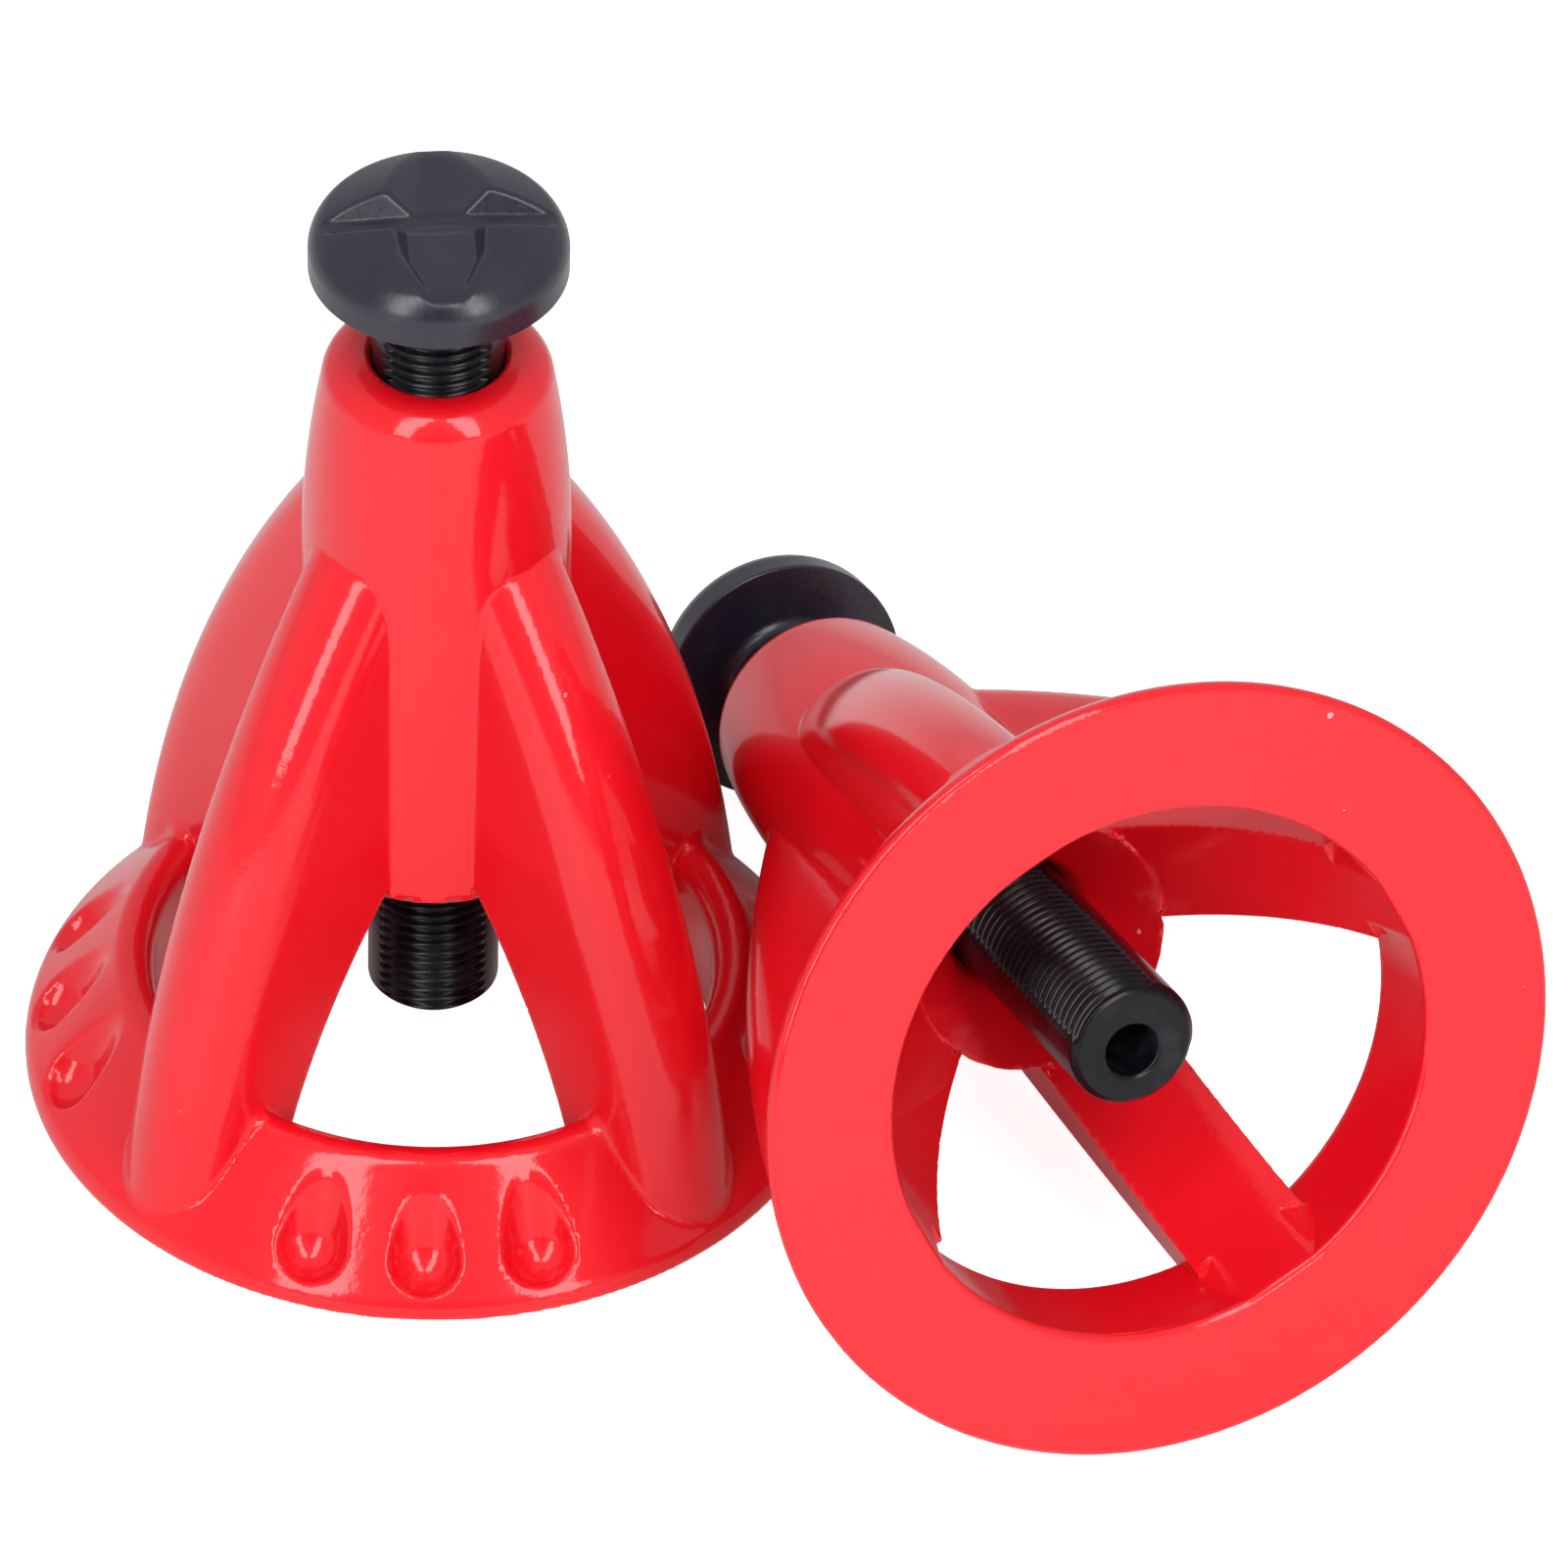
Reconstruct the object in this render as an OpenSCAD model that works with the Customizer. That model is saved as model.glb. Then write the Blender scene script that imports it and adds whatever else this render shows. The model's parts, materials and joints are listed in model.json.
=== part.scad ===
// Pair of small screw axle stands, one upright and one lying on its side.
// Each is a red casting (ring, four domed legs, collar) with a black screw
// post and a cross-grooved saddle head. Origin: on the floor, in the middle of
// the pair's footprint.

/* [Base ring] */
// Outer radius of the base
ring_r = 25; // [22:0.5:28]
// Radius of the opening inside the base
ring_bore_r = 17.1; // [16:0.1:17.5]
// Slope of the outer face above the lip, in degrees
cone_angle = 49.5; // [47:0.5:50]
// Height of the ring's rounded top
ring_h = 7.95; // [7:0.05:9]
// Radius that rounds the top of the ring
ring_round = 1.35; // [1:0.05:1.6]

/* [Dimples] */
// Angle between the dimples of a panel
dimple_step = 17.4; // [17:0.1:20]
// Radius of the round-nosed shape that a dimple follows
dimple_r = 2.25; // [2.1:0.05:2.4]
// Depth of a dimple below the sloping face
dimple_depth = 1.75; // [1.5:0.05:1.9]
// Lean of a dimple's upper end out of the sloping face, in degrees
dimple_lean = 23; // [20:1:30]

/* [Legs] */
// Thickness of a leg
leg_t = 7.6; // [7.2:0.1:8]
// Radius of the round ridge along a leg's back
ridge_r = 4.2; // [4.1:0.05:4.4]
// Radius of the arc that the ridge follows
ridge_arc = 96.55; // [96.2:0.05:96.9]
// Radius of the arc under the arch, which also hollows the collar's lower end
arch_arc = 45.4; // [45:0.1:45.7]

/* [Collar] */
// Radius of the collar where the legs join it
collar_r = 8.1; // [7.9:0.1:8.4]
// Height of the collar's rim
collar_top = 55.5; // [54:0.5:57]

/* [Screw post] */
// Outer radius of the thread
screw_r = 4; // [3.9:0.05:4.05]
// Depth of the thread
thread_depth = 0.36; // [0.2:0.02:0.45]
// Rise of the post for one turn
pitch = 0.75; // [0.7:0.05:1]
// Running clearance between the thread and the collar
running_gap = 0.05; // [0.03:0.01:0.1]
// Height of the tip above the floor on the upright stand
tip_z = 6.05; // [3:0.05:12]
// How much lower the post is screwed on the lying stand
lying_drop = 1.7; // [0:0.05:3]
// Length from the tip to the underside of the head
post_len = 55.9; // [52:0.1:58]

/* [Saddle head] */
// Radius of the head
head_r = 7.75; // [7:0.1:8.5]
// Radius that rounds the head's side into its domed top
head_round = 1; // [0.8:0.05:1.2]
// Radius of the domed top
dome_r = 14.7; // [13:0.1:15]
// Height that the dome would reach at its middle without the cross groove
head_h = 4.9; // [4.7:0.1:5.1]
// Width of the cross groove's floor
groove_floor = 1.8; // [1.5:0.1:2.2]
// Width that the groove's sides reach just above the height of the dome's middle
groove_top = 6.2; // [5.6:0.1:6.6]
// Depth of the cross groove's floor below the dome's middle
groove_depth = 1.7; // [1.5:0.1:1.8]
// Turn of the cross on the upright stand, in degrees
groove_turn = 5; // [-45:1:45]

/* [Arrangement] */
// Turn of the upright stand from its front panel facing forwards, in degrees
upright_turn = 0.8; // [0:0.1:2]
// Place of the lying stand's base centre, to the right of the upright one
lying_x = 44; // [43.9:0.05:60]
// Place of the lying stand's base centre, towards the front
lying_y = -27.75; // [-40:0.05:-27]
// Direction in which the lying stand's head points
lying_heading = 113.3; // [105:0.1:115]
// Turn of the lying stand about its own axis
lying_roll = 22; // [0:1:90]

/* [Hidden] */
$fn = 96;

casting_red = "#df1f26";
post_black = "#26282d";

// Ring: a cone between the lip and the rounded top edge.
round_r0 = ring_bore_r + ring_round;
round_z0 = ring_h - ring_round;
cone_top = [round_r0 + ring_round*sin(cone_angle), round_z0 + ring_round*cos(cone_angle)];
dimple_mid = [22.2, 4.26];
dimple_down = 1.25;
ring_lip = cone_top[1] - (ring_r - cone_top[0])*tan(cone_angle);

// Legs: both arcs are given by their centres in the plane of a leg.
leg_half = leg_t/2;
ridge_c = [-71.3, -11.15];
arch_c = [-27.3, -9.75];
foot_low = 2.5;
leg_top_z = 43.45;
seat = 0.02;

// Collar: a slightly barrelled tube with a rounded rim.
barrel_r = 73;
barrel_z = 40.7;
rim_round = 1.65;
rim_z = collar_top - rim_round;
rim_r = collar_r - barrel_r + sqrt(barrel_r*barrel_r - pow(rim_z - barrel_z, 2)) - rim_round;
collar_bore = screw_r + running_gap;
mouth_r = collar_bore + 0.3;
foot_bore = collar_bore + 0.55;
foot_bore_top = 23.3;

// Screw post and head.
root_r = screw_r - thread_depth;
tip_chamfer = 0.45;
neck_len = 1.3;
neck_r = root_r - 0.04;
thread_len = post_len - neck_len - 0.02;
crest = 0.18;
tip_hole_r = 1.65;
tip_hole_off = 0.4;
tip_hole_depth = 5;
head_edge = 0.15;
round_r = head_r - head_round;
round_z = head_h - dome_r + sqrt(pow(dome_r - head_round, 2) - round_r*round_r);
upright_post_turn = -51;
lying_post_turn = -98;

// The lying stand rests on its lip and on the rounded rim of its head.
lying_tip = tip_z - lying_drop;
head_touch = lying_tip + post_len + 2.5;
lying_tilt = atan((ring_r - head_r)/(head_touch - ring_lip));
lying_z = ring_r*cos(lying_tilt) + ring_lip*sin(lying_tilt);

// The middle of the pair's footprint is the origin.
along_x = cos(lying_heading)*cos(lying_tilt);
along_y = sin(lying_heading)*cos(lying_tilt);
ring_reach = ring_r*sqrt(1 - along_x*along_x);
middle_x = (lying_x + ring_reach - ring_r)/2;
middle_y = lying_y + (along_y*head_touch - (ring_r - head_r)*sqrt(1 - along_y*along_y))/2;

module lying() {
    translate([lying_x, lying_y, lying_z])
        rotate([0, 0, lying_heading])
            rotate([0, 90 + lying_tilt, 0])
                rotate([0, 0, 90 + lying_roll])
                    children();
}

module ring_profile() {
    polygon([
        [ring_bore_r, 0], [ring_r, 0], [ring_r, ring_lip], cone_top,
        [round_r0, round_z0], [ring_bore_r, round_z0],
    ]);
    translate([round_r0, round_z0])
        circle(r = ring_round);
}

// An egg-shaped hollow: a ball low on the cone and a rod, just thinner than
// the ball, that leans out of the sloping face above it.
module dimple() {
    uphill = [-cos(cone_angle), sin(cone_angle)];
    normal = [sin(cone_angle), cos(cone_angle)];
    ball = dimple_mid - uphill*dimple_down + normal*(dimple_r - dimple_depth);
    translate([ball[0], 0, ball[1]])
        rotate([0, cone_angle - 90 + dimple_lean, 0]) {
            sphere(r = dimple_r, $fn = 48);
            cylinder(h = 7, r = dimple_r*0.985, $fn = 48);
        }
}

module base_ring() {
    difference() {
        rotate_extrude()
            ring_profile();
        for (panel = [0:90:270], k = [-1:1])
            rotate([0, 0, panel + k*dimple_step])
                dimple();
    }
}

// Flat of a leg, seen from its side, out to the middle of the ridge.
module leg_side() {
    intersection() {
        translate(ridge_c)
            circle(r = ridge_arc - ridge_r, $fn = 360);
        translate([5, 0])
            square([ring_r, leg_top_z]);
    }
}

// The arc that opens the space under the legs and the collar.
module arch() {
    translate(arch_c)
        circle(r = arch_arc, $fn = 240);
}

// What the arch and the opening inside the ring take away from a leg.
module leg_opening() {
    arch();
    translate([0, -1])
        square([ring_bore_r, foot_low + 1]);
}

module leg() {
    difference() {
        intersection() {
            union() {
                rotate([90, 0, 0])
                    translate([0, 0, -leg_half])
                        linear_extrude(leg_t)
                            leg_side();
                translate([ridge_c[0], 0, ridge_c[1]])
                    rotate([90, 0, 0])
                        rotate_extrude($fn = 360)
                            translate([ridge_arc - ridge_r, 0])
                                circle(r = ridge_r, $fn = 48);
            }
            translate([0, -leg_half, ring_lip])
                cube([ring_r, leg_t, leg_top_z - ring_lip]);
            cylinder(h = leg_top_z, r = ring_r - 0.1);
        }
        rotate([90, 0, 0])
            translate([0, 0, -leg_half - 1])
                linear_extrude(leg_t + 2)
                    leg_opening();
        translate([0, 0, -1])
            cylinder(h = leg_top_z + 2, r = collar_r + seat);
        translate([0, 0, seat])
            rotate_extrude()
                ring_profile();
    }
}

module collar_profile() {
    difference() {
        union() {
            intersection() {
                square([collar_r, rim_z]);
                union() {
                    square([collar_r, barrel_z]);
                    translate([collar_r - barrel_r, barrel_z])
                        circle(r = barrel_r, $fn = 720);
                }
            }
            square([rim_r, collar_top]);
            translate([rim_r, rim_z])
                circle(r = rim_round);
        }
        square([collar_bore, collar_top + 1]);
        arch();
        polygon([
            [0, collar_top - 0.7], [collar_bore, collar_top - 0.7],
            [mouth_r, collar_top], [mouth_r, collar_top + 1], [0, collar_top + 1],
        ]);
        square([foot_bore, foot_bore_top]);
    }
}

module collar() {
    rotate_extrude()
        collar_profile();
}

// The thread is drawn as a row of ring grooves, one to each turn.
module screw_post() {
    turns = floor((thread_len - tip_chamfer - 0.5)/pitch);
    difference() {
        rotate_extrude()
            polygon([
                [0, 0], [screw_r - tip_chamfer, 0], [screw_r, tip_chamfer],
                for (k = [0:turns - 1])
                    let (z = tip_chamfer + 0.25 + k*pitch)
                        each [
                            [screw_r, z], [root_r, z + (pitch - crest)/2],
                            [screw_r, z + pitch - crest],
                        ],
                [screw_r, thread_len - 0.3], [neck_r, thread_len], [0, thread_len],
            ]);
        translate([tip_hole_off, 0, -1])
            cylinder(h = tip_hole_depth + 1, r = tip_hole_r);
    }
}

// The dome, the rounding and the side meet without a corner.
module head_profile() {
    difference() {
        union() {
            square([head_r, round_z]);
            translate([round_r, round_z])
                circle(r = head_round);
            intersection() {
                square([round_r + head_round*round_r/(dome_r - head_round), head_h]);
                translate([0, head_h - dome_r])
                    circle(r = dome_r, $fn = 360);
            }
        }
        translate([head_r - head_edge, 0])
            polygon([[0, 0], [head_edge, head_edge], [head_edge + 1, 0], [0, -1]]);
    }
    // Short neck with a hollow fillet under the head.
    difference() {
        translate([0, -neck_len])
            square([neck_r + 0.9, neck_len + 0.01]);
        translate([neck_r + 0.9, -0.9])
            circle(r = 0.9);
        translate([neck_r, -neck_len - 1])
            square([2, neck_len + 0.1]);
    }
}

// One arm of the cross groove, wide at the top and shallow at the rim.
module groove() {
    wide = groove_floor/2;
    far = groove_top/2;
    dip = head_h - groove_depth;
    rotate([90, 0, 0])
        translate([0, 0, -head_r - 1])
            linear_extrude(2*head_r + 2)
                polygon([[-wide, dip], [wide, dip], [far, head_h + 0.1], [-far, head_h + 0.1]]);
}

module saddle_head() {
    difference() {
        rotate_extrude()
            head_profile();
        groove();
        rotate([0, 0, 90])
            groove();
    }
}

module red() {
    color(casting_red)
        children();
}

module black() {
    color(post_black)
        children();
}

// Nodes of one stand: the ring, legs counted from 45 degrees apart, and the rest.
module stand_node(index, tip, post_turn, head_turn) {
    if (index == 0)
        red() base_ring();
    if (index >= 1 && index <= 4)
        red() rotate([0, 0, 135 + 90*index]) leg();
    if (index == 5)
        red() collar();
    if (index == 6)
        black() translate([0, 0, tip]) rotate([0, 0, post_turn]) screw_post();
    if (index == 7)
        black() translate([0, 0, tip + post_len]) rotate([0, 0, head_turn]) saddle_head();
}

translate([-middle_x, -middle_y, 0])
    for (k = [0:7]) {
        rotate([0, 0, upright_turn])
                stand_node(k, tip_z, upright_post_turn, groove_turn);
        lying() stand_node(k, lying_tip, lying_post_turn, 30);
    }
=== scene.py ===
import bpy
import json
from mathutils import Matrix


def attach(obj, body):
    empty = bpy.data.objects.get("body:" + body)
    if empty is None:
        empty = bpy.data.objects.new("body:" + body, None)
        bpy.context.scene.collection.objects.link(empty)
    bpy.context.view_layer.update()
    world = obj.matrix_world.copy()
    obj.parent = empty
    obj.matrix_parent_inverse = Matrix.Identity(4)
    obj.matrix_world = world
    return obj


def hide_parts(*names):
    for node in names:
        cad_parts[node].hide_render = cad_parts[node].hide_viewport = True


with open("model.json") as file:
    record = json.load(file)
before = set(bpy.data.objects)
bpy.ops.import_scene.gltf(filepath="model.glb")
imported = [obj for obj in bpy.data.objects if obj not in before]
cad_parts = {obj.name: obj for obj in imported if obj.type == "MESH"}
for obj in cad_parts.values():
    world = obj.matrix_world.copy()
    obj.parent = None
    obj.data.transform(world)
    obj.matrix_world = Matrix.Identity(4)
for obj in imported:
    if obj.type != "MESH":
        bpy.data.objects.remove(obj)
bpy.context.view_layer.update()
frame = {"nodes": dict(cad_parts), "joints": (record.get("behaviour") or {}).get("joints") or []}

import json
import math
import bmesh
import bpy
import numpy as np

scene = bpy.context.scene
mm = 0.001

# Camera: it looks down at the pair from the front.
camera = {
    "aim": (0.0001, 0.0026, 0.0233),
    "distance": 1.0,
    "elevation": 41.31,
    "roll": -1.53,
    "lens": 380.0,
    "sensor": 36.0,
    "nearest": 0.05,
    "farthest": 20.0,
}


def makeCamera(spec):
    data = bpy.data.cameras.new("camera")
    data.lens = spec["lens"]
    data.sensor_width = spec["sensor"]
    data.clip_start, data.clip_end = spec["nearest"], spec["farthest"]
    obj = bpy.data.objects.new("camera", data)
    scene.collection.objects.link(obj)
    tilt = math.radians(spec["elevation"])
    aim = np.array(spec["aim"])
    obj.location = aim + spec["distance"] * np.array([0, -math.cos(tilt), math.sin(tilt)])
    turn = turnMatrix("x", 90 - spec["elevation"]) @ turnMatrix("z", -spec["roll"])
    obj.rotation_euler = eulerOf(turn)
    scene.camera = obj


def turnMatrix(axis, degrees):
    # Turns column vectors by an angle about one axis.
    c, s = math.cos(math.radians(degrees)), math.sin(math.radians(degrees))
    rows = {
        "x": [[1, 0, 0], [0, c, -s], [0, s, c]],
        "y": [[c, 0, s], [0, 1, 0], [-s, 0, c]],
        "z": [[c, -s, 0], [s, c, 0], [0, 0, 1]],
    }
    return np.array(rows[axis])


def eulerOf(turn):
    # Angles about x, then y, then z that give the same turn.
    return (
        math.atan2(turn[2, 1], turn[2, 2]),
        math.asin(-turn[2, 0]),
        math.atan2(turn[1, 0], turn[0, 0]),
    )


makeCamera(camera)
print("camera placed")

# Each stand is placed along the axis that its saddle turns about. Angles are in degrees.
stands = {
    "upright": {"turn": 0.8, "tip": 6.05, "groove": 5.0, "postTurn": -51.0},
    "lying": {"turn": 22.0, "tip": 4.35, "groove": 30.0, "postTurn": -98.0},
}
postLength = 55.9


def placeStand(name, spec):
    joint = next(j for j in frame["joints"] if j["name"] == name + "_saddle_turn")
    axis = np.array(joint["axis"]) / np.linalg.norm(joint["axis"])
    spec["base"] = np.array(joint["pos_m"]) - axis * (spec["tip"] + postLength) * mm
    if name == "upright":
        spec["matrix"] = turnMatrix("z", spec["turn"])
    else:
        heading = math.degrees(math.atan2(axis[1], axis[0]))
        lean = 90 - math.degrees(math.asin(axis[2]))
        spec["matrix"] = (
            turnMatrix("z", heading) @ turnMatrix("y", lean) @ turnMatrix("z", 90 + spec["turn"])
        )


for standName, standSpec in stands.items():
    placeStand(standName, standSpec)


def inPlace(points, stand):
    # From millimetres in a stand's own frame to metres in the shared frame.
    return points @ stand["matrix"].T * mm + stand["base"]


# Shapes given by a distance: below zero is inside. Sizes are in millimetres.
def roundedCut(a, b, r):
    # What is inside both, with a convex edge of radius r.
    return np.minimum(np.maximum(a, b), -r) + np.hypot(np.maximum(a + r, 0), np.maximum(b + r, 0))


def filletedJoin(a, b, r):
    # What is inside either, with a hollow fillet of radius r.
    return np.maximum(np.minimum(a, b), r) - np.hypot(np.maximum(r - a, 0), np.maximum(r - b, 0))


def smoothStep(low, high, x):
    # 0 at low, 1 at high, and a smooth rise between.
    t = np.clip((x - low) / (high - low), 0, 1)
    return t * t * (3 - 2 * t)


ring = {
    "outside": 25.0,
    "bore": 17.1,
    "height": 7.95,
    "slope": 49.5,
    "topRound": 1.35,
    "lipRound": 0.45,
    "footRound": 0.4,
    "dimpleStep": 17.4,
    "dimpleMiddle": (22.2, 4.26),
    "dimpleRadius": 2.25,
    "dimpleDown": 1.25,
    "dimpleRaise": 0.5,
    "dimpleSlant": 23.0,
    "dimpleEdge": 0.3,
}
leg = {
    "half": 3.97,
    "draft": 0.0095,
    "backRadius": 4.18,
    "backEdge": 0.8,
    "ridgeCentre": (-71.31, -11.14),
    "ridgeArc": 96.55,
    "archCentre": (-27.27, -9.76),
    "archArc": 45.38,
    "innerEdge": 0.15,
    "top": 43.45,
    "topEdge": 0.14,
    "endGap": 0.1,
    # fillets at the foot, beside the windows and inside the ring, and the heights and radii
    # over which the second and the third take over
    "toeFillet": 0.3,
    "windowFillet": 1.1,
    "innerFillet": 0.16,
    "windowHeights": (6.3, 8.5),
    "innerRadii": (18.4, 17.4),
}
tongue = {
    "top": 4.5,
    "half": 3.3,
    "edge": 1.2,
    "intoRing": 1.0,
    "legGap": 0.8,
    "filletPerHeight": 0.27,
    "leastFillet": 0.02,
    "overlap": 0.02,
}
collar = {
    "radius": 8.1,
    "top": 55.5,
    "barrelStart": 40.7,
    "barrelArc": 73.0,
    "rimRound": 1.65,
    "bore": 4.05,
    "mouth": 4.35,
    "footMouth": 4.7,
    "footZ": 22.2,
    "footSlant": 0.5,
    "holeEdge": 0.12,
    "fillet": 0.16,
}
castingGrid = {"low": (-25.7, -25.7, -0.61), "high": (25.7, 25.7, 56.2), "step": 0.36}


def ringShape(x, y, z):
    # A cone between a lip and a rounded top edge, with dimples cut into it.
    r = np.hypot(x, y)
    s, c = math.sin(math.radians(ring["slope"])), math.cos(math.radians(ring["slope"]))
    topR, topZ = ring["bore"] + ring["topRound"], ring["height"] - ring["topRound"]
    dr, dz = r - topR, z - topZ
    overTop = (dz >= 0) & (dr * c - dz * s <= 0)
    body = np.where(overTop, np.hypot(dr, dz), np.maximum(-dr, dr * s + dz * c)) - ring["topRound"]
    body = roundedCut(body, r - ring["outside"], ring["lipRound"])
    # Each quarter of the ring has three dimples, a step apart.
    turn = np.degrees(np.arctan2(y, x))
    turn = np.mod(turn + 45, 90) - 45
    step = ring["dimpleStep"]
    turn = np.radians(turn - np.clip(np.round(turn / step), -1, 1) * step)
    # A round-nosed cutter, leaning in from the slope, leaves each egg-shaped dimple.
    atR, atZ = ring["dimpleMiddle"]
    px, py, pz = r * np.cos(turn) - atR, r * np.sin(turn), z - atZ
    up = pz * s - px * c + ring["dimpleDown"]
    out = px * s + pz * c - ring["dimpleRaise"]
    slant = math.radians(ring["dimpleSlant"])
    along = np.maximum(up * math.cos(slant) + out * math.sin(slant), 0)
    up, out = up - along * math.cos(slant), out - along * math.sin(slant)
    cutter = np.sqrt(up**2 + py**2 + out**2) - ring["dimpleRadius"]
    return roundedCut(body, -cutter, ring["dimpleEdge"])


def archCut(u, z):
    # Inside the arc that opens the space under a leg.
    return leg["archArc"] - np.hypot(u - leg["archCentre"][0], z - leg["archCentre"][1])


def legShape(u, w, z):
    # A slab, thicker towards its foot, with a round back that follows an arc.
    back = np.hypot(u - leg["ridgeCentre"][0], z - leg["ridgeCentre"][1])
    back = back - (leg["ridgeArc"] - leg["backRadius"])
    body = np.hypot(np.maximum(back, 0), w) - leg["backRadius"]
    flank = w - leg["half"] + leg["draft"] * z
    body = roundedCut(body, flank, leg["backEdge"])
    body = roundedCut(body, archCut(u, z), leg["innerEdge"])
    body = roundedCut(body, z - leg["top"], leg["topEdge"])
    return np.maximum(body, np.hypot(u, w) - ring["outside"] + leg["endGap"])


def tongueShape(u, w, z):
    # The foot of a leg inside the ring: as flat as the leg in the middle, soft at its sides.
    body = roundedCut(w - tongue["half"], archCut(u, z), tongue["edge"])
    return np.maximum(body, np.hypot(u, w) - ring["bore"] - tongue["intoRing"])


def collarShape(r, z):
    # A tube that narrows to a rounded rim, hollowed below by the same arc as the legs.
    arc = collar["barrelArc"]
    side = np.hypot(r - collar["radius"] + arc, np.maximum(z - collar["barrelStart"], 0)) - arc
    body = roundedCut(side, z - collar["top"], collar["rimRound"])
    return roundedCut(body, archCut(r, z), leg["innerEdge"])


def castingShape(x, y, z):
    a, b = (x + y) * math.sqrt(0.5), (y - x) * math.sqrt(0.5)
    u, w = np.maximum(np.abs(a), np.abs(b)), np.minimum(np.abs(a), np.abs(b))
    r = np.hypot(x, y)
    base, legs = ringShape(x, y, z), legShape(u, w, z)
    foot = leg["toeFillet"]
    foot = foot + (leg["windowFillet"] - foot) * smoothStep(*leg["windowHeights"], z)
    foot = foot + (leg["innerFillet"] - foot) * smoothStep(*leg["innerRadii"], r)
    # Above the parting line the legs are flat inside the ring, and below it their feet are soft.
    split, overlap = tongue["top"], tongue["overlap"]
    above = np.maximum(filletedJoin(base, legs, foot), split - overlap - z)
    below = filletedJoin(base, np.maximum(legs, ring["bore"] + tongue["legGap"] - r), foot)
    hollow = np.maximum(tongue["filletPerHeight"] * z, tongue["leastFillet"])
    below = np.minimum(below, filletedJoin(base, tongueShape(u, w, z), hollow))
    body = np.minimum(above, np.maximum(below, z - split - overlap))
    body = filletedJoin(body, collarShape(r, z), collar["fillet"])
    body = roundedCut(body, -z, ring["footRound"])
    hole = np.maximum(collar["bore"], collar["mouth"] + z - collar["top"])
    footMouth = collar["footMouth"] + collar["footSlant"] * (collar["footZ"] - z)
    return roundedCut(body, np.maximum(hole, footMouth) - r, collar["holeEdge"])


# How shapes become faces. Both reaches, the longest move and the longest pull are shares of
# the grid's step, and the inset is a share of the way from a corner to its face's middle.
contouring = {
    "slopeReach": 0.05,
    "middleWeight": 0.08,
    "longestMove": 0.7,
    "rounds": 3,
    "longestPull": 0.3,
    "normalInset": 0.3,
    "normalReach": 0.12,
}


def slopeOf(shape, p, reach):
    # Direction in which the distance grows fastest, from differences either way.
    rise = np.empty_like(p)
    for axis in range(3):
        step = np.zeros(3)
        step[axis] = reach
        ahead, behind = p + step, p - step
        rise[:, axis] = shape(*ahead.T) - shape(*behind.T)
    return rise / (2 * reach)


def surfaceOf(shape, low, high, step):
    # Dual contouring: one point in each cell that the surface crosses, where the planes of
    # its crossings meet, and one four-sided face around each crossed edge of the grid.
    reach = contouring["slopeReach"] * step
    axes = [np.arange(low[i], high[i] + step, step) for i in range(3)]
    value = shape(axes[0][:, None, None], axes[1][None, :, None], axes[2][None, None, :])
    inside = value < 0
    size = np.array(inside.shape)
    cells = np.zeros(size - 1, np.int32)
    for i in (0, 1):
        for j in (0, 1):
            for k in (0, 1):
                cells += inside[i:size[0] - 1 + i, j:size[1] - 1 + j, k:size[2] - 1 + k]
    crossed = (cells > 0) & (cells < 8)
    number = np.full(crossed.shape, -1, np.int64)
    number[crossed] = np.arange(crossed.sum())
    count = int(crossed.sum())
    normalSum, planeSum, pointSum, hits = [np.zeros((count, n)) for n in (9, 3, 3, 1)]
    faces = []
    for axis in range(3):
        first = [slice(None)] * 3
        second = [slice(None)] * 3
        first[axis], second[axis] = slice(0, -1), slice(1, None)
        change = inside[tuple(first)] != inside[tuple(second)]
        at = np.argwhere(change)
        near, far = value[tuple(first)][change], value[tuple(second)][change]
        p = np.stack([axes[i][at[:, i]] for i in range(3)], 1)
        share = near / (near - far)
        p[:, axis] += share * step
        n = slopeOf(shape, p, reach)
        n /= np.linalg.norm(n, axis=1, keepdims=True) + 1e-9
        one, two = [i for i in range(3) if i != axis]
        corners = []
        for s, t in ((-1, -1), (0, -1), (0, 0), (-1, 0)):
            cell = at.copy()
            cell[:, one] += s
            cell[:, two] += t
            corners.append(number[cell[:, 0], cell[:, 1], cell[:, 2]])
        corners = np.stack(corners, 1)
        outward = near < 0
        if axis == 1:
            outward = ~outward
        faces.append(np.where(outward[:, None], corners, corners[:, ::-1]))
        for column in range(4):
            cell = corners[:, column]
            np.add.at(normalSum, cell, (n[:, :, None] * n[:, None, :]).reshape(-1, 9))
            np.add.at(planeSum, cell, n * np.sum(n * p, 1, keepdims=True))
            np.add.at(pointSum, cell, p)
            np.add.at(hits, cell, 1.0)
    middle = pointSum / hits
    spread = normalSum.reshape(-1, 3, 3)
    rest = planeSum - np.einsum("nij,nj->ni", spread, middle)
    move = np.linalg.solve(spread + contouring["middleWeight"] * np.eye(3), rest[:, :, None])
    longest = contouring["longestMove"] * step
    points = middle + np.clip(move[:, :, 0], -longest, longest)
    longest = contouring["longestPull"] * step
    for _ in range(contouring["rounds"]):
        rise = slopeOf(shape, points, reach)
        gap = shape(*points.T)[:, None]
        pull = gap * rise / (np.sum(rise * rise, 1, keepdims=True) + 1e-6)
        points = points - np.clip(pull, -longest, longest)
    # Each corner of a face takes its normal a little way in, so an edge stays crisp.
    faces = np.concatenate(faces)
    corners = points[faces]
    corners += contouring["normalInset"] * (corners.mean(1, keepdims=True) - corners)
    normals = slopeOf(shape, corners.reshape(-1, 3), contouring["normalReach"] * step)
    normals /= np.linalg.norm(normals, axis=1, keepdims=True) + 1e-9
    return points, faces, normals


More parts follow.
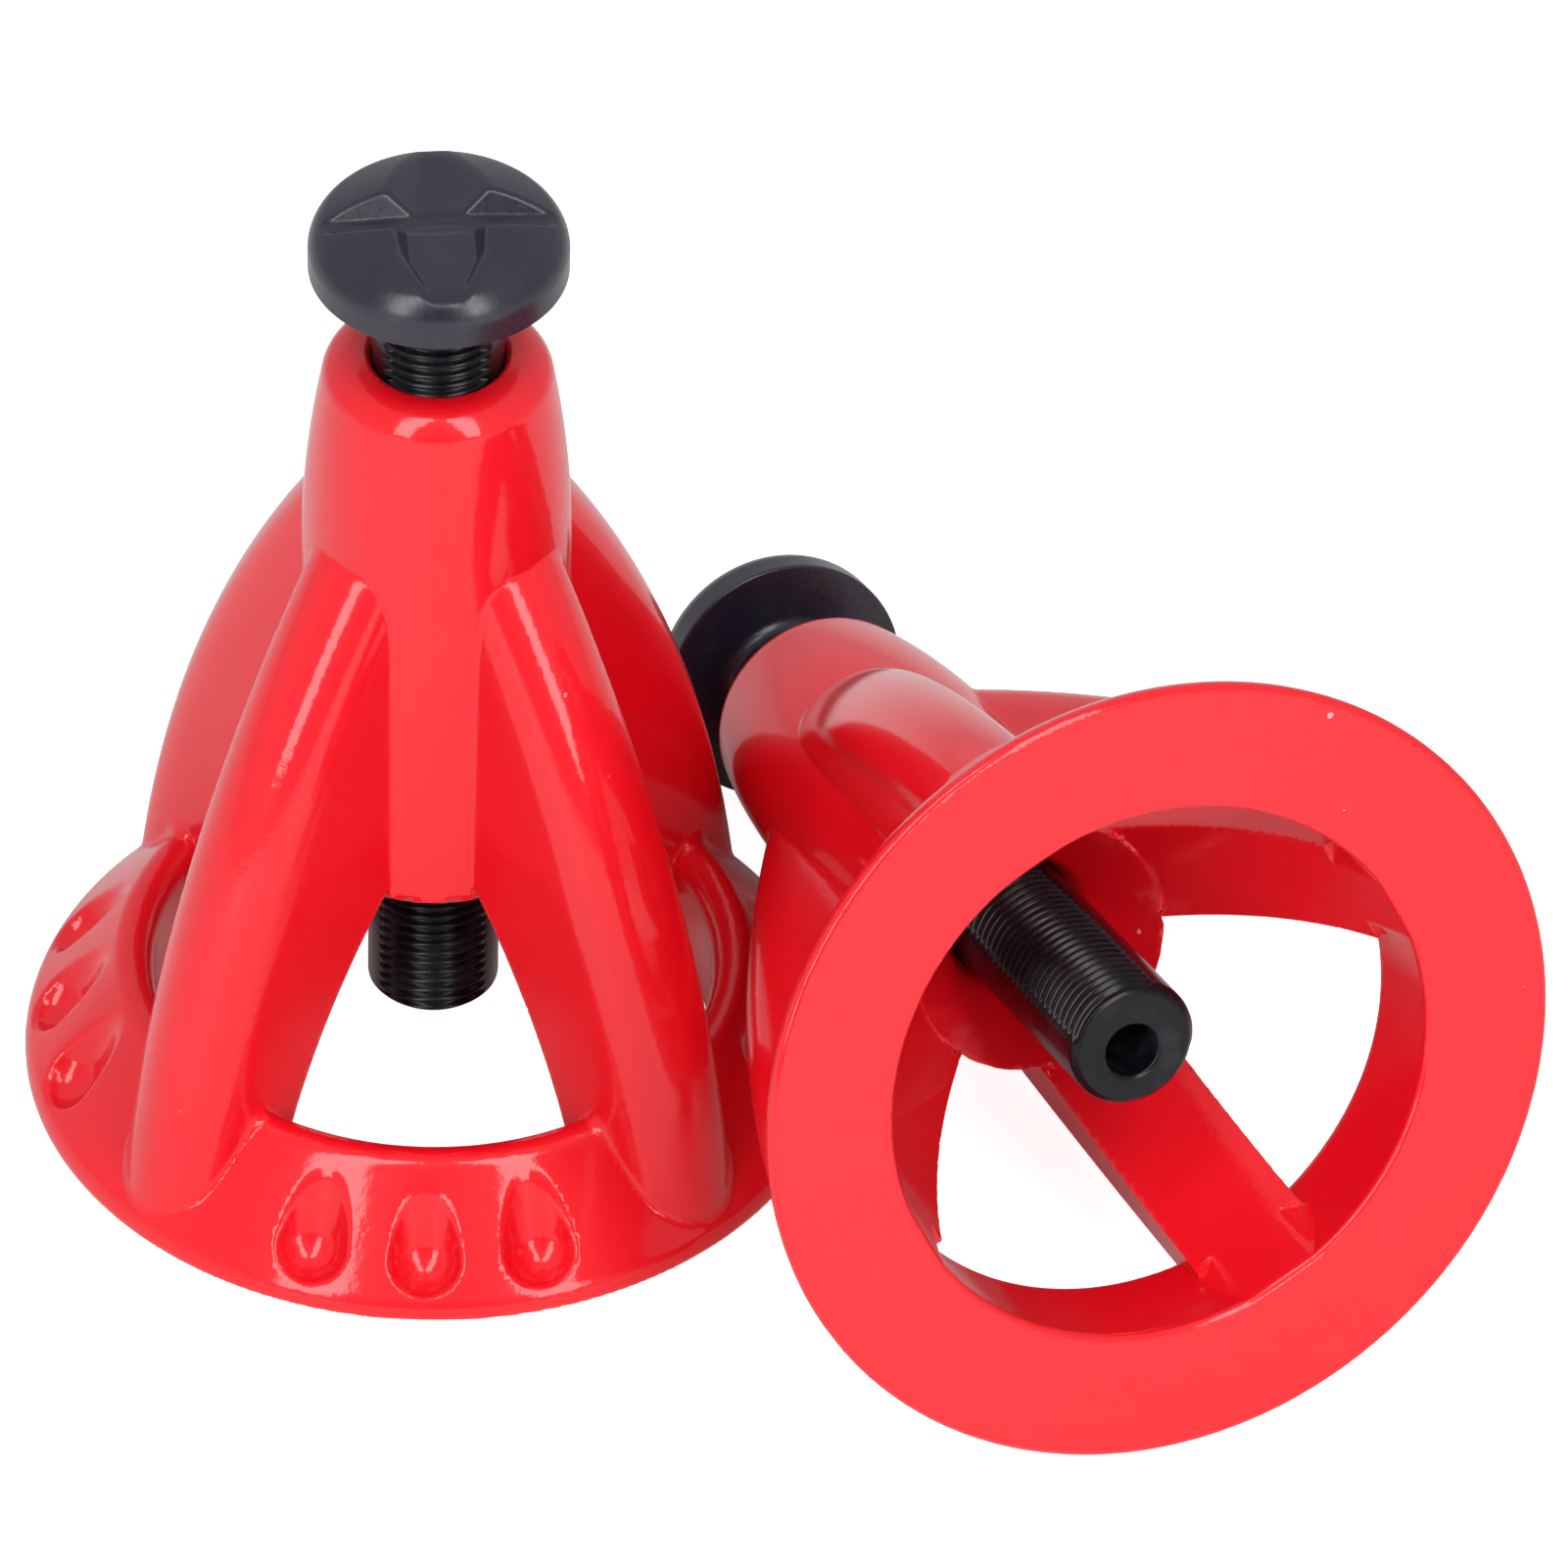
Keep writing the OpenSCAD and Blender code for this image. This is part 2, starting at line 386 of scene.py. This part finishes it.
def makePiece(name, points, faces, normals=None):
    mesh = bpy.data.meshes.new(name)
    mesh.from_pydata(points, [], faces)
    mesh.polygons.foreach_set("use_smooth", [True] * len(mesh.polygons))
    mesh.update()
    if normals is not None:
        mesh.normals_split_custom_set(normals)
    obj = bpy.data.objects.new(name, mesh)
    scene.collection.objects.link(obj)
    return obj


print("working out the casting")
castingSurface = surfaceOf(castingShape, **castingGrid)
print("casting points and faces:", len(castingSurface[0]), len(castingSurface[1]))

# Saddle head: a round-edged dome with a cross groove, on a short neck. Its height is the one
# that the dome would reach in the middle without the groove.
head = {
    "radius": 7.75,
    "round": 1.0,
    "dome": 14.7,
    "height": 4.9,
    "edge": 0.15,
    "grooveDepth": 1.7,
    "armReach": 6.2,
    "floorEdge": 0.12,
    # half the floor's width at its widest and at its narrowest, its loss for each millimetre
    # outwards, the walls' lean for each millimetre of height, and their top edge's radius
    "frontArm": (1.95, 1.0, 0.34, 0.67, 0.5),
    "backArm": (1.3, 0.5, 0.17, 1.3, 0.35),
    "sideArm": (0.8, 0.45, 0.06, 0.8, 0.25),
    "neckLength": 1.3,
    "neckRadius": 3.6,
    "neckFillet": 0.9,
    "neckInside": 1.0,
}
headGrid = {"low": (-8.1, -8.1, -1.6), "high": (8.1, 8.1, 4.9), "step": 0.15}


def headShape(x, y, z):
    r = np.hypot(x, y)
    dome = np.hypot(r, z - head["height"] + head["dome"]) - head["dome"]
    body = roundedCut(r - head["radius"], dome, head["round"])
    body = roundedCut(body, -z, head["edge"])
    neckEnds = np.maximum(-head["neckLength"] - z, z - head["neckInside"])
    neck = np.maximum(r - head["neckRadius"], neckEnds)
    body = filletedJoin(body, neck, head["neckFillet"])
    floor = head["height"] - head["grooveDepth"]
    arms = ((x, -y, "frontArm"), (x, y, "backArm"), (y, x, "sideArm"), (y, -x, "sideArm"))
    for across, along, arm in arms:
        widest, narrowest, loss, slant, edge = head[arm]
        half = np.clip(narrowest + loss * (head["armReach"] - along), narrowest, widest)
        wall = (np.abs(across) - half - (z - floor) * slant) / math.hypot(1, slant)
        wall = np.maximum(wall, -along)
        groove = roundedCut(wall, floor - z, head["floorEdge"])
        body = roundedCut(body, -groove, edge)
    return body


print("working out the saddle head")
headSurface = surfaceOf(headShape, **headGrid)
print("head points and faces:", len(headSurface[0]), len(headSurface[1]))

# Screw post: a fine thread between two smooth sides, and a blind hole in its tip.
thread = {
    "radius": 4.0,
    "depth": 0.42,
    "pitch": 0.75,
    "crest": 0.14,
    "root": 0.12,
    "smoothTurn": 51.0,
    "smoothWidth": (37.0, 47.0),
    "smoothSink": 0.02,
    "tipChamfer": 0.45,
    "holeRadius": 1.65,
    "holeOff": 0.4,
    "holeDepth": 5.0,
    "intoHead": 0.4,
    "neckEase": (0.9, 0.35),
    "neckSink": 0.02,
    "columns": 112,
    "rowsPerTurn": 8,
    "mergeGap": 2e-7,
}


def threadRadius(z, turn):
    # Trapezoid waves that climb one pitch a turn and die out on two opposite sides.
    pitch = thread["pitch"]
    phase = np.mod(z / pitch - turn / (2 * math.pi), 1)
    fromCrest = np.abs(phase - 0.5) * pitch
    halfCrest, halfRoot = thread["crest"] / 2, thread["root"] / 2
    sink = np.clip((fromCrest - halfCrest) / (pitch / 2 - halfCrest - halfRoot), 0, 1)
    r = thread["radius"] - thread["depth"] * sink
    away = np.abs(np.mod(np.degrees(turn) - thread["smoothTurn"] + 90, 180) - 90)
    smooth = thread["radius"] - thread["smoothSink"]
    return smooth + (r - smooth) * smoothStep(*thread["smoothWidth"], away)


def postSurface():
    # Rows follow the helix, so every crest runs along one row of the grid: a row's last point
    # joins the first point of the row one turn further on. More rows turn in at the tip, down
    # the blind hole's wall and across its floor.
    columns, perTurn, pitch = thread["columns"], thread["rowsPerTurn"], thread["pitch"]
    length = postLength - head["neckLength"] + thread["intoHead"]
    turn = np.arange(columns) / columns * 2 * math.pi
    level = np.arange((int(length / pitch) + 2) * perTurn, -perTurn - 1, -1) / perTurn * pitch
    z = np.clip(level[:, None] + turn[None, :] / (2 * math.pi) * pitch, 0, length)
    rim = thread["radius"] - thread["tipChamfer"]
    r = np.minimum(threadRadius(z, turn[None, :]), rim + z)
    neck = head["neckRadius"] - thread["neckSink"]
    start, end = thread["neckEase"]
    r = r + (np.minimum(r, neck) - r) * smoothStep(length - start, length - end, z)
    side = np.stack([r * np.cos(turn), r * np.sin(turn), z], 2)
    hole, off, deep = thread["holeRadius"], thread["holeOff"], thread["holeDepth"]
    cap, floor = np.zeros((2, 1, columns, 3))
    cap[..., 2] = length
    floor[..., 0], floor[..., 2] = off, deep
    ends = []
    # radius, shift towards the hole and height of each row
    for radius, shift, height in (
        (rim - 0.25, 0.1, 0), (hole + 0.28, off, 0), (hole + 0.1, off, 0.04),
        (hole, off, 0.2), (hole - 0.05, off, deep - 0.4), (hole - 0.4, off, deep),
    ):
        row = np.full((1, columns, 3), float(height))
        row[0, :, 0] = radius * np.cos(turn) + shift
        row[0, :, 1] = radius * np.sin(turn)
        ends.append(row)
    rows = np.concatenate([cap, side, *ends, floor])
    faces = joinRows(rows)
    low, high = perTurn + 1, len(side)
    seam = np.arange(low, high)
    last = faces.reshape(len(rows) - 1, columns, 4)[:, -1]
    last[seam, 1] = (seam - perTurn) * columns
    last[seam, 2] = (seam + 1 - perTurn) * columns
    last[1:low, 1:3] = last[1:low, [0, 3]]
    return rows.reshape(-1, 3), faces


def joinRows(rows):
    # Faces between neighbouring rows of points; a row's last point joins its first.
    count, columns = rows.shape[:2]
    i = np.arange(count - 1)[:, None] * columns
    j = np.arange(columns)[None, :]
    k = (j + 1) % columns
    return np.stack([i + j, i + k, i + k + columns, i + j + columns], 2).reshape(-1, 4)


def tidyMesh(obj, gap):
    # Merges points that fall together and turns all faces outwards.
    shell = bmesh.new()
    shell.from_mesh(obj.data)
    bmesh.ops.remove_doubles(shell, verts=shell.verts, dist=gap)
    bmesh.ops.dissolve_degenerate(shell, edges=shell.edges, dist=gap)
    bmesh.ops.recalc_face_normals(shell, faces=shell.faces)
    shell.to_mesh(obj.data)
    shell.free()


print("working out the thread")
postPoints, postFaces = postSurface()
print("thread points and faces:", len(postPoints), len(postFaces))


# Materials. Distances inside them are in metres, as Object coordinates are.
def newMaterial(name):
    made = bpy.data.materials.new(name)
    made.use_nodes = True
    nodes = made.node_tree.nodes
    shader = nodes["Principled BSDF"]
    place = nodes.new("ShaderNodeTexCoord")
    return made, shader, place.outputs["Object"]


def addNode(material, kind, **links):
    # A node with sockets fed by other nodes.
    node = material.node_tree.nodes.new(kind)
    for key, source in links.items():
        material.node_tree.links.new(source, node.inputs[key])
    return node


def noise(material, place, size, detail, rough, seed):
    # Soft random values with features about this many millimetres wide.
    values = {"Scale": 1 / (size * mm), "Detail": detail, "Roughness": rough, "W": seed}
    node = addNode(material, "ShaderNodeTexNoise", Vector=place)
    node.noise_dimensions = "4D"
    for key, value in values.items():
        node.inputs[key].default_value = value
    return node.outputs["Fac"]


# Sockets of a Map Range node: from the low end and the high end, to the bottom and the top.
rangeSockets = (1, 2, 3, 4)


def ramp(material, source, low, high, bottom=0.0, top=1.0):
    # Stretches the part of a value from low to high over bottom to top.
    node = addNode(material, "ShaderNodeMapRange", Value=source)
    for key, value in zip(rangeSockets, (low, high, bottom, top)):
        node.inputs[key].default_value = value
    return node.outputs[0]


def blendColours(material, share, first, second):
    # A Mix node takes its share at socket 0 and its colours at 6 and 7.
    node = material.node_tree.nodes.new("ShaderNodeMix")
    node.data_type = "RGBA"
    links = material.node_tree.links
    links.new(share, node.inputs[0])
    for socket, colour in ((node.inputs[6], first), (node.inputs[7], second)):
        if isinstance(colour, tuple):
            socket.default_value = (*colour, 1)
        else:
            links.new(colour, socket)
    return node.outputs[2]


def bumpBy(material, height, depth, under=None):
    # Depth is how far, in millimetres, a height of 1 stands up.
    node = addNode(material, "ShaderNodeBump", Height=height)
    node.inputs["Distance"].default_value = depth * mm
    if under is not None:
        material.node_tree.links.new(under, node.inputs["Normal"])
    return node.outputs["Normal"]


# A pattern is a noise's size in millimetres, detail, roughness and seed. A "From" pair is the
# part of its values over which the effect comes in. Depths are in millimetres.
paint = {
    "red": (0.775, 0.002, 0.0105),
    "deepRed": (0.74, 0.0018, 0.0095),
    "patchPattern": (9.0, 3, 0.5, 0.0),
    "patchFrom": (0.35, 0.65),
    "bodyRoughness": 0.45,
    "bodySpecular": 0.22,
    "dust": (0.75, 0.32, 0.33),
    "dustPattern": (1.1, 2, 0.5, 7.0),
    "dustFrom": (0.765, 0.785),
    "coat": 0.8,
    "coatRoughness": 0.085,
    "peelPattern": (0.7, 3, 0.6, 0.0),
    "peelDepth": 0.013,
    "finePattern": (0.22, 1, 0.5, 3.0),
    "fineDepth": 0.0022,
}


def redPaint():
    made, shader, place = newMaterial("gloss_red_paint")
    link = made.node_tree.links.new
    patches = ramp(made, noise(made, place, *paint["patchPattern"]), *paint["patchFrom"])
    colour = blendColours(made, patches, paint["red"], paint["deepRed"])
    specks = ramp(made, noise(made, place, *paint["dustPattern"]), *paint["dustFrom"])
    link(blendColours(made, specks, colour, paint["dust"]), shader.inputs["Base Color"])
    peel = noise(made, place, *paint["peelPattern"])
    fine = noise(made, place, *paint["finePattern"])
    normal = bumpBy(made, peel, paint["peelDepth"])
    normal = bumpBy(made, fine, paint["fineDepth"], normal)
    link(normal, shader.inputs["Normal"])
    link(normal, shader.inputs["Coat Normal"])
    shader.inputs["Roughness"].default_value = paint["bodyRoughness"]
    shader.inputs["Specular IOR Level"].default_value = paint["bodySpecular"]
    shader.inputs["Coat Weight"].default_value = paint["coat"]
    shader.inputs["Coat Roughness"].default_value = paint["coatRoughness"]
    return made


plastic = {
    "worn": (0.022, 0.022, 0.027),
    "wornPattern": (2.5, 3, 0.5, 0.0),
    "wornFrom": (0.5, 0.8),
    "grainPattern": (0.35, 3, 0.6, 0.0),
    "grainDepth": 0.005,
    "grainFrom": (0.3, 0.7),
    "smoother": 0.03,
    "rougher": 0.05,
}


def blackPlastic(name, roughness, colour, specular):
    made, shader, place = newMaterial(name)
    link = made.node_tree.links.new
    shader.inputs["Specular IOR Level"].default_value = specular
    rub = ramp(made, noise(made, place, *plastic["wornPattern"]), *plastic["wornFrom"])
    link(blendColours(made, rub, colour, plastic["worn"]), shader.inputs["Base Color"])
    grain = noise(made, place, *plastic["grainPattern"])
    low, high = roughness - plastic["smoother"], roughness + plastic["rougher"]
    link(ramp(made, grain, *plastic["grainFrom"], low, high), shader.inputs["Roughness"])
    link(bumpBy(made, grain, plastic["grainDepth"]), shader.inputs["Normal"])
    return made


redPainted = redPaint()
headBlack = blackPlastic("satin_black_saddle", 0.27, (0.013, 0.013, 0.024), 0.6)
threadBlack = blackPlastic("satin_black_thread", 0.23, (0.003, 0.003, 0.005), 0.28)


def makeStand(name, spec):
    castingNodes = [
        node for node in frame["nodes"]
        if node.startswith(name) and "screw" not in node and "saddle" not in node
    ]
    points, faces, normals = castingSurface
    body = makePiece(name + "_casting", inPlace(points, spec), faces, normals @ spec["matrix"].T)
    body.data.materials.append(redPainted)
    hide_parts(*castingNodes)
    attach(body, name + "_stand")

    points = postPoints @ turnMatrix("z", spec["postTurn"]).T + [0, 0, spec["tip"]]
    post = makePiece(name + "_thread", inPlace(points, spec), postFaces)
    tidyMesh(post, thread["mergeGap"])
    post.data.materials.append(threadBlack)
    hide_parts(name + "_screw_post")
    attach(post, name + "_saddle")

    points, faces, normals = headSurface
    turn = turnMatrix("z", spec["groove"])
    points = points @ turn.T + [0, 0, spec["tip"] + postLength]
    normals = normals @ turn.T @ spec["matrix"].T
    cap = makePiece(name + "_saddle", inPlace(points, spec), faces, normals)
    cap.data.materials.append(headBlack)
    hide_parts(name + "_saddle_head")
    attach(cap, name + "_saddle")


for standName, standSpec in stands.items():
    print("making the", standName, "stand")
    makeStand(standName, standSpec)

# Floor, lamps and surroundings. Lengths are in metres, but for the pattern's size.
studio = {
    "floorSize": 6.0,
    "floorColour": (0.82, 0.82, 0.82),
    "floorShade": 0.985,
    "floorPattern": (30.0, 3, 0.5, 0.0),
    "floorFrom": (0.3, 0.7),
    "floorRoughness": 0.6,
    "floorSpecular": 0.3,
    "lampsAround": (0.0, 0.0, 0.03),
    "boxes": (
        # heading from the front, elevation, width, height, distance, watts
        (-31.5, 40, 0.17, 0.86, 0.62, 2.8),
        (32.5, 40, 0.17, 0.86, 0.62, 2.8),
    ),
    "tint": (0.95, 0.945, 1.0),
    "floorShown": 0.85,
    # brightness all round and at the darkest, the way to the darkest, and the cosines of the
    # angles from it between which the one turns into the other
    "behind": 0.62,
    "room": 0.16,
    "roomCentre": (0.0, -0.80, 0.60),
    "roomEdge": (0.42, 0.85),
}


def makeFloor():
    points = [(x * 0.5, y * 0.5, 0) for x, y in ((-1, -1), (1, -1), (1, 1), (-1, 1))]
    points = np.array(points) * studio["floorSize"]
    floor = makePiece("floor", points, [(0, 1, 2, 3)])
    made, shader, place = newMaterial("pale_floor")
    link = made.node_tree.links.new
    patches = ramp(made, noise(made, place, *studio["floorPattern"]), *studio["floorFrom"])
    tone = studio["floorColour"]
    darker = tuple(studio["floorShade"] * v for v in tone)
    link(blendColours(made, patches, tone, darker), shader.inputs["Base Color"])
    shader.inputs["Roughness"].default_value = studio["floorRoughness"]
    shader.inputs["Specular IOR Level"].default_value = studio["floorSpecular"]
    # The camera sees a paler floor than the gloss of the paint does.
    seen = made.node_tree.nodes.new("ShaderNodeLightPath")
    shown = ramp(made, seen.outputs["Is Camera Ray"], 0, 1, 0, studio["floorShown"])
    link(shown, shader.inputs["Emission Strength"])
    shader.inputs["Emission Color"].default_value = (1, 1, 1, 1)
    floor.data.materials.append(made)


def makeBox(index, heading, elevation, width, height, distance, power):
    data = bpy.data.lights.new(f"softbox_{index}", "AREA")
    data.shape = "RECTANGLE"
    data.size, data.size_y = width, height
    data.energy = power
    obj = bpy.data.objects.new(data.name, data)
    scene.collection.objects.link(obj)
    h, e = math.radians(heading), math.radians(elevation)
    way = np.array([math.sin(h) * math.cos(e), -math.cos(h) * math.cos(e), math.sin(e)])
    obj.location = way * distance + studio["lampsAround"]
    obj.rotation_euler = eulerOf(turnMatrix("z", heading) @ turnMatrix("x", 90 - elevation))


def makeSurroundings():
    # Pale all round, and darker in front, where the room is behind the lamps.
    world = bpy.data.worlds.new("surroundings")
    scene.world = world
    world.use_nodes = True
    nodes, link = world.node_tree.nodes, world.node_tree.links.new
    shader = nodes["Background"]
    way = nodes.new("ShaderNodeTexCoord")
    facing = nodes.new("ShaderNodeVectorMath")
    facing.operation = "DOT_PRODUCT"
    link(way.outputs["Object"], facing.inputs[0])
    facing.inputs[1].default_value = studio["roomCentre"]
    level = nodes.new("ShaderNodeMapRange")
    level.interpolation_type = "SMOOTHSTEP"
    link(facing.outputs["Value"], level.inputs["Value"])
    low, high = studio["roomEdge"]
    for key, value in zip(rangeSockets, (low, high, studio["behind"], studio["room"])):
        level.inputs[key].default_value = value
    # The camera itself sees full brightness.
    seen = nodes.new("ShaderNodeLightPath")
    strength = nodes.new("ShaderNodeMapRange")
    link(seen.outputs["Is Camera Ray"], strength.inputs[0])
    link(level.outputs[0], strength.inputs[3])
    strength.inputs[4].default_value = 1.0
    link(strength.outputs[0], shader.inputs["Strength"])
    shader.inputs["Color"].default_value = (*studio["tint"], 1)


makeFloor()
for boxIndex, box in enumerate(studio["boxes"]):
    makeBox(boxIndex, *box)
makeSurroundings()
print("studio set")

scene.view_settings.view_transform = "Standard"
